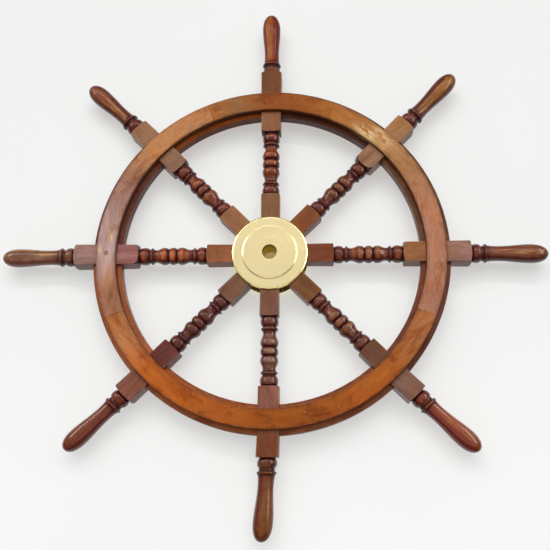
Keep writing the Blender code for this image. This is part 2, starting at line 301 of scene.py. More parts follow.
def middle_stations():
    """The turned length: three beads in the middle, necks, thin discs and end beads."""
    return in_metres([
        (106.0, 13.0, ""), (107.2, 12.6, "line"),
        (114.4, 15.1, "crown"), (121.6, 11.6, "crown"), (123.4, 11.4, "line"),
        (124.9, 13.4, "cove"), (126.6, 14.3, "crown"), (128.3, 13.4, "crown"),
        (134.6, 11.0, "cove"), (148.4, 15.1, "ease"), (156.2, 11.3, "crown"),
        (156.9, 11.3, "line"), (163.6, 15.0, "crown"), (170.3, 11.3, "crown"),
        (171.0, 11.3, "line"), (178.8, 15.1, "crown"), (191.6, 11.0, "ease"),
        (197.0, 13.4, "cove"), (198.7, 14.3, "crown"), (200.4, 13.4, "crown"),
        (201.9, 11.4, "cove"), (203.4, 11.6, "line"), (211.2, 15.1, "crown"),
        (218.6, 12.6, "crown"), (220.0, 13.4, "line"),
    ])


def handle_stations(long_block):
    """Neck, bead, collar and grip beyond the rim block, up to where the tip's dome starts."""
    if long_block:
        neck = [(338.5, 13.0, ""), (339.6, 12.6, "line"), (343.8, 14.6, "crown"),
                (348.0, 12.6, "crown")]
    else:
        neck = [(331.0, 13.4, ""), (332.6, 12.6, "line"), (339.4, 16.1, "crown"),
                (346.4, 12.9, "crown")]
    return in_metres(neck + [
        (350.2, 12.7, "line"), (352.3, 14.9, "cove"), (354.0, 16.0, "crown"),
        (355.9, 15.2, "crown"), (356.5, 14.5, "line"), (376.0, 12.6, "cove"),
        (428.0, 15.9, "ease"),
    ])


def tip_points():
    """The domed end of the grip."""
    start, radius, power, steps = 0.428, 0.0159, 2.2, 14
    points = []
    for step in range(1, steps + 1):
        along = math.sin(math.pi / 2 * step / (steps + 0.35))
        fall = (1 - along ** power) ** (1 / power)
        points.append((start + (TIP - start) * along, radius * fall))
    points.append((TIP, 0.0008))
    return points


def crown_share(distance, crowns):
    """How much lighter the turning is at a distance, by worn stain and painted highlight, from a
    list of (distance in mm, share).
    """
    return max(share * (1 - smooth_step(0.15 * CROWN_WIDTH, CROWN_WIDTH,
                                        abs(distance / MM - crown)))
               for crown, share in crowns)


def spoke_mesh(index):
    """One spoke along +Z, painted, with its handle leaning a little."""
    long_block = LONG_BLOCK if index == 0 else 0.0
    block_end = RIM_BLOCK_END + long_block
    mitre = math.tan(PITCH / 2)
    clear = 0.0002
    foot = SLEEVE_RADIUS + clear
    mitre_end = (STOCK_AT_HUB + clear) / mitre
    rows = [square_row(foot, (foot * mitre - clear) / STOCK_AT_HUB), square_row(mitre_end)]
    rows += [square_row(distance) for distance in (TAPER_START, 0.085)]
    rows += shoulder_rows(HUB_BLOCK_END, HUB_SHOULDERS[index] * MM, HUB_FOOT, 1)
    middle = turned(middle_stations())
    rows += [round_row(distance, radius) for distance, radius in middle[1:-1]]
    rows += reversed(shoulder_rows(RIM_BLOCK_START, INNER_SHOULDERS[index] * MM, RIM_FOOT, -1))
    rows += [square_row(distance) for distance in (0.245, 0.273, 0.300)]
    rows += shoulder_rows(block_end, OUTER_SHOULDERS[index] * MM, RIM_FOOT, 1)
    handle = turned(handle_stations(long_block)) + tip_points()
    rows += [round_row(distance, radius) for distance, radius in handle[1:]]
    mesh = mesh_of("spoke", rows)
    paint_spoke(mesh, index, block_end)
    for vertex in mesh.vertices:
        beyond = (vertex.co.z - MIDDLE_OUTER) / (TIP - MIDDLE_OUTER)
        vertex.co.x += HANDLE_LEANS[index] * MM * max(beyond, 0.0) ** 1.3
    return mesh


def paint_spoke(mesh, index, block_end):
    """Grain, zones (turned, grip, crease and how far to the front or back), worn corners, stain
    and varnish."""
    hub_stain, inner_stain, outer_stain, bead_stain, lit_grip_stain, shaded_grip_stain = SPOKE_STAINS[index]
    grain, zones, edges, stains, varnish = [], [], [], [], []
    for vertex in mesh.vertices:
        x, y, z = vertex.co
        # Each spoke is cut from its own place in the wood
        grain.append((z + index * 1.7, x + 0.11 * (index % 3) + 0.03, y + index * 0.37))
        radius = math.hypot(x, y)
        angle = math.atan2(y, x)
        square = square_reach(stock_half(z), angle)
        on_block = radius > square - 0.05 * MM and (z < HUB_BLOCK_END or
                                                    RIM_BLOCK_START < z < block_end)
        round_part = 0.0 if on_block else 1.0
        grip = smooth_step(*GRIP_START, z)
        gap = min(abs(z / MM - crease) for crease in CREASES)
        groove = round_part * (1 - smooth_step(0.15 * CREASE_WIDTH, CREASE_WIDTH, gap))
        band = math.radians(GRIP_LIT_BANDS[index]) * grip
        facing = abs(x * math.sin(band) - y * math.cos(band)) / radius
        zones.append((round_part, grip, groove, smooth_step(0.2, 1.0, facing)))
        block = inner_stain if z < FASTENER_AT else outer_stain
        if z < HUB_BLOCK_END + 5 * MM:
            block = hub_stain
        # Lighter on the crowns, darker between them: worn stain with painted highlight and shade
        turning = mixed_stain(COLLAR_STAIN, bead_stain, crown_share(z, CROWNS))
        warm = WARM_COLLARS[index] * crown_share(z, OUTER_CROWNS)
        # The grip is lighter on its front band and darker to its sides: painted highlight and
        # shade
        handle = mixed_stain(shaded_grip_stain, lit_grip_stain, smooth_step(0.80, 0.98, facing))
        gathered = max(DARK_TIPS[index] * smooth_step(*TIP_DARK, z),
                       0.45 * (1 - smooth_step(*NECK_DARK, z)) * grip)
        handle = mixed_stain(handle, COLLAR_STAIN, gathered)
        turning = mixed_stain(turning, handle, max(warm, grip))
        streaks = 0.1 + 0.35 * GRIP_STREAKS[index] * grip
        stains.append((*mixed_stain(block, turning, round_part), streaks))
        folded = abs((angle % (math.pi / 2)) - math.pi / 4)
        corner = 1 - smooth_step(math.radians(1.2), math.radians(3.5), folded)
        edges.append(corner * (1 - round_part))
        varnish.append(round_part * (1 + (GRIP_VARNISH[index] - 1) * grip))
    paint(mesh, grain=grain, zones=zones, edge=edges, stain=stains, varnish=varnish)


# ------------------------ rim

def rounded_section(inner, outer, front, rear, arris, steps=4, flats=7):
    """(radius, y) outline of a rim layer with its long edges rounded over."""
    corners = (
        (inner + arris, front + arris, math.pi, 1.5 * math.pi),
        (outer - arris, front + arris, 1.5 * math.pi, 2 * math.pi),
        (outer - arris, rear - arris, 0.0, 0.5 * math.pi),
        (inner + arris, rear - arris, 0.5 * math.pi, math.pi),
    )
    arcs = []
    for radius, y, start, stop in corners:
        angles = [start + (stop - start) * step / steps for step in range(steps + 1)]
        arcs.append([(radius + arris * math.cos(angle), y + arris * math.sin(angle))
                     for angle in angles])
    outline = []
    for arc, following in zip(arcs, arcs[1:] + arcs[:1]):
        outline += arc
        first, last = arc[-1], following[0]
        for step in range(flats + 1):
            share = 0.02 + 0.96 * step / flats
            outline.append((first[0] + (last[0] - first[0]) * share,
                            first[1] + (last[1] - first[1]) * share))
    return outline


def felloe_mesh(section, half_angle, ends):
    """A section swept round the axis, centred on +Z, its two ends eased by a chamfer each."""
    centre_r = (section[0][0] + max(point[0] for point in section)) / 2
    centre_y = (min(point[1] for point in section) + max(point[1] for point in section)) / 2
    low, high = ends
    inside = half_angle - max(low, high) / FACING_INNER
    stations = [(-half_angle, low), (-half_angle + low / FACING_INNER, 0.0)]
    stations += [(inside * (2 * step / ARC_STEPS - 1), 0.0) for step in range(1, ARC_STEPS)]
    stations += [(half_angle - high / FACING_INNER, 0.0), (half_angle, high)]
    rows = []
    for turn, ease in stations:
        out = Vector((math.sin(turn), 0, math.cos(turn)))
        row = []
        for radius, y in section:
            radius -= math.copysign(ease, radius - centre_r)
            y -= math.copysign(ease, y - centre_y)
            row.append(out * radius + Vector((0, y, 0)))
        rows.append(row)
    return mesh_of("felloe", rows)


def stock_cutter(turn=0.0):
    """A square prism a hair larger than the spoke's stock, across the rim."""
    rows = []
    for distance in (MIDDLE_INNER - 0.02, MIDDLE_OUTER + 0.02):
        half = stock_half(distance) + LAYER_GAP
        rows.append([Vector((x * half, y * half, distance)) for x, y in CORNERS])
    mesh = mesh_of("stock_cutter", rows)
    mesh.transform(Matrix.Rotation(turn, 4, "Y"))
    return mesh


def disc_rows(profile, steps, distance=0.0):
    """Rows round the Y axis through (radius, y) points, moved along +Z."""
    angles = [2 * math.pi * (step + 0.5) / steps for step in range(steps)]
    return [[Vector((radius * math.cos(angle), y, distance + radius * math.sin(angle)))
             for angle in angles] for radius, y in profile]


def paint_rim(mesh, index, layer, inner, outer, front, rear, stain_at, spots=()):
    """Grain along the felloe, its stain, darker down its sides with stain and painted shade, its
    edges, which rim_wood darkens with dirt and painted shade, and any rubbed spots."""
    grain, edges, wear, colours = [], [], [], []
    for vertex in mesh.vertices:
        x, y, z = vertex.co
        radius = math.hypot(x, z)
        grain.append((x + index * 1.9 + layer * 23.0, z - 0.27 + 0.07 * (index % 4),
                      y + 0.013 * index + 0.31 * layer))
        to_radial = min(abs(radius - inner), abs(outer - radius))
        to_face = min(abs(y - front), abs(rear - y))
        near_edge = 1 - smooth_step(0.4 * MM, 4.2 * MM, math.hypot(to_radial, to_face))
        edges.append(near_edge)
        rubbed = 0.0
        for along, across, size in spots:
            gap = math.hypot((x - along) / size, (radius - across) / (0.45 * size))
            rubbed = max(rubbed, 1 - smooth_step(0.2, 1.0, gap))
        wear.append(rubbed)
        # Side walls darkened: stain and painted shade
        side = smooth_step(0.7 * MM, 1.8 * MM, to_face)
        side *= 1 - smooth_step(0.0, 0.6 * MM, to_radial)
        shade = mixed_stain(stain_at(math.atan2(x, z)), RIM_SIDE_STAIN_AND_SHADE[layer], 0.8 * side)
        colours.append((*shade, 0.12))
    paint(mesh, stain=colours, grain=grain, edge=edges, wear=wear)


# ------------------------ node helpers

class Graph:
    """Builds the nodes of a material or a world from short calls."""

    def __init__(self, owner):
        owner.use_nodes = True
        self.owner = owner
        self.tree = owner.node_tree
        self.shader = self.tree.nodes.get("Principled BSDF")

    def put(self, socket, value):
        if isinstance(value, bpy.types.NodeSocket):
            self.tree.links.new(value, socket)
        elif socket.type == "RGBA":
            socket.default_value = (*value, 1.0)
        else:
            socket.default_value = value

    def add(self, kind, inputs=(), **settings):
        node = self.tree.nodes.new("ShaderNode" + kind)
        for key, value in settings.items():
            setattr(node, key, value)
        for key, value in dict(inputs).items():
            self.put(node.inputs[key], value)
        return node

    def painted(self, name):
        """Outputs of a layer that paint() stored."""
        return self.add("Attribute", attribute_name=name).outputs

    def math(self, operation, first, second=0.0, clamp=False):
        return self.add("Math", {0: first, 1: second}, operation=operation,
                        use_clamp=clamp).outputs[0]

    def times(self, first, second):
        return self.math("MULTIPLY", first, second)

    def vector(self, operation, first, second):
        return self.add("VectorMath", {0: first, 1: second}, operation=operation).outputs[0]

    def stretch(self, vector, scale):
        return self.add("Mapping", {"Vector": vector, "Scale": scale}).outputs[0]

    def mix(self, factor, first, second, blend="MIX"):
        node = self.add("Mix", {0: factor, 6: first, 7: second}, data_type="RGBA",
                        blend_type=blend)
        return node.outputs[2]

    def tint(self, colour, factors):
        return self.mix(1.0, colour, factors, "MULTIPLY")

    def span(self, value, low, high, to_low=0.0, to_high=1.0):
        """Maps low..high smoothly to to_low..to_high."""
        node = self.add("MapRange", {0: value, 1: low, 2: high, 3: to_low, 4: to_high},
                        interpolation_type="SMOOTHSTEP")
        return node.outputs[0]

    def noise(self, vector, scale, detail=2.0, roughness=0.5, distortion=0.0):
        """Noise over a vector stretched by a scale for each axis."""
        node = self.add("TexNoise", {"Vector": self.stretch(vector, scale), "Scale": 1.0,
                                     "Detail": detail, "Roughness": roughness,
                                     "Distortion": distortion})
        return node.outputs[0]

    def bump(self, height, distance, strength=1.0, normal=None):
        inputs = {"Height": height, "Distance": distance, "Strength": strength}
        if normal is not None:
            inputs["Normal"] = normal
        return self.add("Bump", inputs).outputs[0]

    def shade(self, inputs):
        """Sets or links inputs of the shader, and returns the material."""
        for name, value in inputs.items():
            self.put(self.shader.inputs[name], value)
        return self.owner


# ------------------------ wood

# Dark lines along a streaky grip, gold lines along its front as a painted highlight, and factors
# that darken a stain: in the figure, in smudges, and on the sides of a grip as painted shade
DARK_LINES, GOLD_HIGHLIGHT_LINES = (0.100, 0.020, 0.005), (0.49, 0.23, 0.055)
DARK_FIGURE, SMUDGED, SHADED_GRIP_SIDES = (0.40, 0.30, 0.26), (0.62, 0.50, 0.36), (0.60, 0.32, 0.30)
# Painted shade on the beads' sides, old stain and dirt with painted shade in the creases and along
# the rim's edges, and bare wood at the rubbed corners
SHADED_BEAD_SIDES, CREASE_DIRT_AND_SHADE = (0.062, 0.0055, 0.0048), (0.038, 0.0045, 0.0034)
EDGE_DIRT_AND_SHADE, RUBBED_CORNER = (0.10, 0.024, 0.010), (0.36, 0.19, 0.12)


def new_material(name):
    return Graph(bpy.data.materials.new(name))


def wood_figure(graph, ring_scale, ring_lines, contrast):
    """Colour and relief of the grain. The grain attribute's X runs along the fibres, and the
    stain attribute holds the colour, with how streaky it is in its alpha."""
    grain = graph.painted("grain")["Vector"]
    stain = graph.painted("stain")
    broad = graph.noise(grain, (7.0, 30.0, 30.0), 3.0, 0.55, 0.4)
    patch = graph.noise(grain, (16.0, 95.0, 95.0), 3.0, 0.6, 0.8)
    warped = graph.noise(grain, (9.0, 14.0, 14.0), 2.0)
    shifted = graph.vector("ADD", grain, (0.0, 0.085, 0.04))
    pushed = graph.vector("MULTIPLY", warped, (0.0, 0.03, 0.03))
    flat = graph.stretch(graph.vector("ADD", shifted, pushed), (0.22, 1.0, 1.0))
    rings = graph.add("TexWave", {"Vector": flat, "Scale": ring_scale, "Distortion": 3.0,
                                  "Detail": 2.0, "Detail Scale": 1.5},
                      wave_type="RINGS", rings_direction="X", wave_profile="SAW").outputs[1]
    fibre = graph.noise(grain, (38.0, 900.0, 900.0), 3.0, 0.6)
    pores = graph.span(graph.noise(grain, (120.0, 1500.0, 1500.0), 1.0), 0.60, 0.70)
    streak = graph.span(graph.noise(grain, (10.0, 90.0, 50.0), 4.0, 0.62, 1.2), 0.52, 0.66)
    dark = graph.span(broad, 0.30, 0.70, 0.42, 0.0)
    dark = graph.math("ADD", dark, graph.span(rings, 0.40, 1.0, 0.0, ring_lines))
    dark = graph.math("ADD", dark, graph.span(fibre, 0.30, 0.70, 0.26, 0.0))
    dark = graph.math("ADD", dark, graph.span(patch, 0.46, 0.72, 0.0, -0.30))
    dark = graph.times(dark, contrast)
    streak = graph.times(streak, stain["Alpha"])
    dark = graph.math("ADD", dark, graph.times(streak, 0.75))
    dark = graph.math("ADD", dark, graph.times(pores, 0.22), True)
    lit = graph.tint(stain["Color"], (1.16, 1.16, 1.16))
    amber = graph.tint(stain["Color"], (1.16, 1.0, 0.72))
    clouds = graph.noise(grain, (26.0, 60.0, 60.0), 3.0, 0.6, 0.6)
    lit = graph.mix(graph.span(clouds, 0.45, 0.65), lit, amber)
    deep = graph.tint(stain["Color"], DARK_FIGURE)
    colour = graph.mix(dark, lit, deep)
    relief = graph.math("SUBTRACT", graph.times(fibre, 0.5), pores)
    return grain, colour, relief


def rim_wood(name, worn_colour, roughness, contrast):
    """Matt varnish on the felloes, smudged, darkened along the edges by dirt and painted shade,
    and rubbed through.
    """
    graph = new_material(name)
    grain, colour, relief = wood_figure(graph, 46.0, 0.10, contrast)
    chatter = graph.noise(grain, (60.0, 140.0, 140.0), 3.0, 0.65)
    smudges = graph.noise(grain, (22.0, 48.0, 48.0), 4.0, 0.62, 0.5)
    umber = graph.tint(colour, SMUDGED)
    colour = graph.mix(graph.span(smudges, 0.50, 0.68, 0.0, 0.85), colour, umber)
    edge = graph.painted("edge")["Fac"]
    # Edges darkened: dirt and painted shade
    grime = graph.times(edge, graph.span(chatter, 0.30, 0.60))
    colour = graph.mix(graph.times(grime, 0.55), colour, EDGE_DIRT_AND_SHADE)
    wear = graph.painted("wear")["Fac"]
    mottled = graph.times(wear, graph.span(chatter, 0.34, 0.56))
    colour = graph.mix(graph.times(mottled, 0.85), colour, worn_colour)
    nicks = graph.span(graph.noise(grain, (420.0, 640.0, 640.0), 1.0), 0.735, 0.76)
    colour = graph.mix(graph.times(nicks, 0.55), colour, worn_colour)
    haze = graph.noise(grain, (14.0, 26.0, 26.0), 3.0, 0.6)
    rough = graph.span(haze, 0.3, 0.7, roughness - 0.06, roughness + 0.08)
    rough = graph.math("ADD", rough, graph.times(mottled, 0.12))
    wave = graph.noise(grain, (22.0, 45.0, 45.0), 2.0)
    normal = graph.bump(wave, 0.0010, 0.5)
    normal = graph.bump(relief, 0.00006, 0.5, normal)
    normal = graph.bump(nicks, -0.0003, 0.5, normal)
    return graph.shade({"Base Color": colour, "Roughness": rough, "Normal": normal,
                        "Specular IOR Level": 0.09})


def spoke_wood():
    """Glossy varnish on the turned lengths and grips, and matt on the square blocks."""
    graph = new_material("spoke_varnish")
    grain, colour, relief = wood_figure(graph, 62.0, 0.22, 0.8)
    zones, stain = graph.painted("zones"), graph.painted("stain")
    turned_part, grip, groove = graph.add("SeparateColor", {0: zones["Color"]}).outputs
    facing = zones["Alpha"]
    streaky = graph.times(grip, graph.span(stain["Alpha"], 0.10, 0.45))
    fine = graph.noise(grain, (6.0, 330.0, 330.0), 3.0, 0.6)
    lines = graph.times(graph.span(fine, 0.52, 0.64, 0.0, 0.50), streaky)
    colour = graph.mix(lines, colour, DARK_LINES)
    # Gold lines on the grip's front band: a painted highlight
    lines = graph.times(graph.span(fine, 0.38, 0.47, 0.75, 0.0), streaky)
    lines = graph.times(lines, graph.span(facing, 0.75, 0.97))
    colour = graph.mix(lines, colour, GOLD_HIGHLIGHT_LINES)
    # Beads and grips darken towards their sides, away from their front band: painted shade, broken
    # up by blotches
    blotch = graph.noise(grain, (75.0, 75.0, 75.0), 3.0, 0.6)
    fading = graph.math("ADD", facing, graph.span(blotch, 0.3, 0.7, -0.30, 0.30))
    side_shade = graph.times(graph.span(fading, 0.40, 1.10, 0.90, 0.0), turned_part)
    shaded_grip_colour = graph.tint(stain["Color"], SHADED_GRIP_SIDES)
    colour = graph.mix(side_shade, colour, graph.mix(grip, SHADED_BEAD_SIDES, shaded_grip_colour))
    # Creases darkened by gathered stain and painted shade
    colour = graph.mix(graph.times(groove, 0.90), colour, CREASE_DIRT_AND_SHADE)
    chatter = graph.noise(grain, (70.0, 150.0, 150.0), 3.0, 0.65)
    edge = graph.painted("edge")["Fac"]
    rub = graph.times(edge, graph.span(chatter, 0.40, 0.60))
    colour = graph.mix(graph.times(rub, 0.40), colour, RUBBED_CORNER)
    haze = graph.noise(grain, (18.0, 60.0, 60.0), 3.0, 0.6)
    matt = graph.span(haze, 0.3, 0.7, 0.40, 0.54)
    gloss = graph.span(haze, 0.3, 0.7, 0.34, 0.44)
    swap = graph.add("Mix", {0: turned_part, 2: matt, 3: gloss}, data_type="FLOAT")
    wave = graph.noise(grain, (45.0, 70.0, 70.0), 2.0)
    normal = graph.bump(wave, 0.0004, 0.3)
    ridges = graph.noise(grain, (14.0, 330.0, 330.0), 2.0)
    normal = graph.bump(ridges, 0.0003, 0.15, normal)
    normal = graph.bump(relief, 0.00006, 0.5, normal)
    lacquer = graph.span(facing, 0.3, 0.9, 0.65, 0.40)
    lacquer = graph.times(lacquer, graph.span(groove, 0.1, 0.8, 1.0, 0.15))
    lacquer = graph.times(lacquer, graph.painted("varnish")["Fac"])
    return graph.shade({"Base Color": colour, "Roughness": swap.outputs[0], "Normal": normal,
                        "Coat Weight": lacquer, "Coat Roughness": 0.09,
                        "Specular IOR Level": 0.14})


def plug_wood():
    """End grain, closest to the rim's own stain where the stain's alpha is 1."""
    graph = new_material("plug_end_grain")
    grain = graph.painted("grain")["Vector"]
    speck = graph.noise(grain, (900.0, 900.0, 900.0), 3.0, 0.6)
    shade = graph.noise(grain, (160.0, 160.0, 160.0), 2.0)
    colour = graph.mix(graph.span(shade, 0.3, 0.7), (0.155, 0.060, 0.030), (0.27, 0.115, 0.060))
    colour = graph.mix(graph.span(speck, 0.45, 0.65, 0.0, 0.5), colour, (0.08, 0.03, 0.016))
    stain = graph.painted("stain")
    match = graph.math("ADD", graph.times(stain["Alpha"], 0.5), 0.42)
    face = graph.tint(stain["Color"], (0.90, 0.88, 0.85))
    colour = graph.mix(match, colour, face)
    return graph.shade({"Base Color": colour, "Roughness": graph.span(speck, 0.3, 0.7, 0.40, 0.55),
                        "Normal": graph.bump(speck, 0.00010, 0.6), "Specular IOR Level": 0.09})


# ------------------------ metals

# Lighter brass on the plate's rim, rubbed and a painted highlight; darker in the bore, grime and
# painted shade
RUBBED_BRASS_HIGHLIGHT, BORE_GRIME_AND_SHADE = (0.98, 0.85, 0.36), (0.17, 0.115, 0.050)
EDGE_TINT = (0.80, 0.62, 0.25)


def brass_metal(name, colour, tarnish, roughness):
    """Lacquered brass with turning lines round the axis and a little tarnish."""
    graph = new_material(name)
    place = graph.painted("grain")["Vector"]
    cloud = graph.noise(place, (28.0, 28.0, 28.0), 4.0, 0.6)
    blotch = graph.noise(place, (75.0, 75.0, 75.0), 4.0, 0.65, 0.6)
    lathe = graph.painted("lathe")["Vector"]
    lines = graph.noise(lathe, (2600.0, 2.0, 2600.0), 3.0, 0.7)
    mixed = graph.mix(graph.span(cloud, 0.35, 0.75, 0.0, 0.55), colour, tarnish)
    mixed = graph.mix(graph.span(blotch, 0.60, 0.76, 0.0, 0.45), mixed, tarnish)
    grime = graph.painted("grime")["Fac"]
    # Rim lightened as a painted highlight, bore darkened as painted shade
    mixed = graph.mix(graph.painted("edge")["Fac"], mixed, RUBBED_BRASS_HIGHLIGHT)
    mixed = graph.mix(graph.times(grime, 0.95), mixed, BORE_GRIME_AND_SHADE)
    rough = graph.span(cloud, 0.3, 0.7, *roughness)
    rough = graph.math("ADD", rough, graph.times(lines, 0.06))
    rough = graph.math("ADD", rough, graph.times(grime, 0.25))
    dents = graph.noise(place, (40.0, 40.0, 40.0), 2.0)
    normal = graph.bump(dents, 0.0006, 0.25)
    normal = graph.bump(lines, 0.00002, 0.3, normal)
    return graph.shade({"Base Color": mixed, "Roughness": rough, "Normal": normal,
                        "Metallic": 1.0, "Specular Tint": EDGE_TINT})


def screw_steel():
    graph = new_material("bright_steel")
    place = graph.add("TexCoord").outputs["Object"]
    turned_marks = graph.noise(place, (300.0, 2500.0, 300.0), 3.0, 0.6)
    tone = graph.mix(graph.span(turned_marks, 0.3, 0.7), (0.35, 0.34, 0.33), (0.55, 0.54, 0.52))
    rough = graph.span(turned_marks, 0.3, 0.7, 0.3, 0.5)
    return graph.shade({"Base Color": tone, "Roughness": rough, "Metallic": 1.0,
                        "Normal": graph.bump(turned_marks, 0.00005, 0.5)})


def paint_metal(mesh, shift=0.0, centre=0.0):
    """Position, (radius, 0, y) for the turning lines round a centre on Z, the rubbed rim,
    lightened as a painted highlight, and the grimy bore, darkened as painted shade."""
    place, lathe, edges, grime = [], [], [], []
    rim = PLATE_RADIUS - 2.8 * MM
    for vertex in mesh.vertices:
        x, y, z = vertex.co
        place.append((x + shift, y, z))
        lathe.append((math.hypot(x, z - centre), 0.0, y))
        radius = math.hypot(x, z)
        edges.append(smooth_step(rim, rim + 0.6 * MM, radius))
        grime.append(1 - smooth_step(BORE + 0.3 * MM, BORE + 0.9 * MM, radius))
    paint(mesh, grain=place, lathe=lathe, edge=edges, grime=grime)


# ------------------------ pieces

# Stains of the front and rear layers, clockwise from the top, in runs that end at OPEN_JOINTS
# The pink-grey stains round the felloes at the left and right hold a painted reflection of the
# varnish's sheen
STAINS = {
    "umber": (0.285, 0.068, 0.006), "ochre": (0.41, 0.150, 0.032), "honey": (0.48, 0.240, 0.085),
    "tan": (0.345, 0.155, 0.062), "rose_sheen": (0.495, 0.222, 0.129), "russet": (0.42, 0.150, 0.048),
    "amber": (0.40, 0.100, 0.010), "chestnut": (0.315, 0.080, 0.007),
    "copper": (0.49, 0.122, 0.013), "mauve_sheen": (0.50, 0.330, 0.310), "peach": (0.55, 0.245, 0.092),
    "olive": (0.265, 0.115, 0.034), "sienna": (0.315, 0.088, 0.005), "clay": (0.41, 0.178, 0.107),
    "ginger": (0.41, 0.116, 0.012), "apricot": (0.48, 0.190, 0.076), "fawn": (0.395, 0.174, 0.099),
    "smoke": (0.308, 0.137, 0.077),
}
RING_RUNS = (
    ((-22.5, "ochre"), (-13.0, "olive"), (0.0, "umber"), (15.0, "sienna"), (31.0, "ochre"),
     (45.0, "honey"), (60.0, "tan"), (74.0, "rose_sheen"), (90.0, "rose_sheen"), (105.0, "clay"),
     (112.5, "clay")),
    ((112.5, "russet"), (122.0, "russet"), (135.0, "ginger"), (150.0, "amber"),
     (166.0, "chestnut"), (180.0, "chestnut"), (196.0, "amber"), (211.0, "copper"),
     (226.0, "copper"), (238.0, "apricot"), (247.5, "russet")),
    ((247.5, "fawn"), (257.0, "fawn"), (268.0, "mauve_sheen"), (278.0, "mauve_sheen"),
     (300.0, "smoke"), (313.0, "peach"), (337.5, "peach")),
)
# Stains down the sides of the front, rear and middle layers, darkened as painted shade
RIM_SIDE_STAIN_AND_SHADE = ((0.055, 0.010, 0.006), (0.055, 0.010, 0.006), (0.085, 0.030, 0.016))
MIDDLE_STAINS = (
    (0.102, 0.033, 0.016), (0.210, 0.090, 0.038), (0.220, 0.070, 0.039),
    (0.315, 0.101, 0.041), (0.445, 0.136, 0.044), (0.450, 0.134, 0.046),
    (0.190, 0.057, 0.036), (0.340, 0.082, 0.008),
)
# Hub block, inner and outer rim block, beads, and the grip's front and sides, which hold painted
# highlight and painted shade, spoke by spoke
SPOKE_STAINS = (
    ((0.240, 0.107, 0.044), (0.255, 0.103, 0.041), (0.165, 0.049, 0.012),
     (0.400, 0.095, 0.009), (0.315, 0.082, 0.001), (0.235, 0.019, 0.001)),
    ((0.230, 0.067, 0.017), (0.285, 0.150, 0.080), (0.340, 0.160, 0.062),
     (0.255, 0.083, 0.026), (0.320, 0.112, 0.013), (0.145, 0.026, 0.002)),
    ((0.184, 0.045, 0.011), (0.292, 0.112, 0.039), (0.300, 0.158, 0.130),
     (0.370, 0.115, 0.029), (0.230, 0.068, 0.024), (0.155, 0.034, 0.010)),
    ((0.192, 0.072, 0.022), (0.155, 0.060, 0.027), (0.208, 0.103, 0.072),
     (0.290, 0.120, 0.054), (0.325, 0.072, 0.011), (0.260, 0.032, 0.003)),
    ((0.215, 0.097, 0.062), (0.283, 0.104, 0.069), (0.190, 0.052, 0.018),
     (0.300, 0.160, 0.101), (0.200, 0.060, 0.009), (0.210, 0.054, 0.009)),
    ((0.196, 0.092, 0.055), (0.145, 0.034, 0.025), (0.235, 0.080, 0.051),
     (0.145, 0.049, 0.023), (0.180, 0.032, 0.002), (0.190, 0.033, 0.002)),
    ((0.281, 0.095, 0.033), (0.315, 0.130, 0.118), (0.312, 0.170, 0.142),
     (0.520, 0.125, 0.024), (0.225, 0.108, 0.055), (0.310, 0.150, 0.078)),
    ((0.274, 0.117, 0.051), (0.245, 0.124, 0.070), (0.330, 0.165, 0.085),
     (0.320, 0.082, 0.024), (0.240, 0.064, 0.020), (0.145, 0.030, 0.008)),
)
COLLAR_STAIN = (0.128, 0.016, 0.009)
# Rubbed spots by felloe from 0: how far along it, radius and size
WORN_SPOTS = {1: ((-0.030, 0.268, 0.040), (-0.006, 0.275, 0.026), (-0.016, 0.281, 0.020),
                  (0.006, 0.266, 0.016)),
              6: ((0.028, 0.268, 0.012), (0.006, 0.284, 0.012))}


def ring_stain(centre):
    """A function that gives the stain at an angle from a felloe's centre, within its run."""
    centre = (centre + 22.5) % 360 - 22.5
    run = next(run for run in RING_RUNS if run[0][0] < centre < run[-1][0])

    def stain_at(offset):
        angle = min(max(centre + math.degrees(offset), run[0][0]), run[-1][0])
        (start, low), (stop, high) = next(pair for pair in zip(run, run[1:])
                                          if angle <= pair[1][0])
        return mixed_stain(STAINS[low], STAINS[high], (angle - start) / (stop - start))

    return stain_at


def build_spokes(material):
    for index in range(COUNT):
        finish_piece(f"turned_spoke_{index + 1}", spoke_mesh(index), material,
                     index * PITCH, [f"spoke_{index + 1}"])


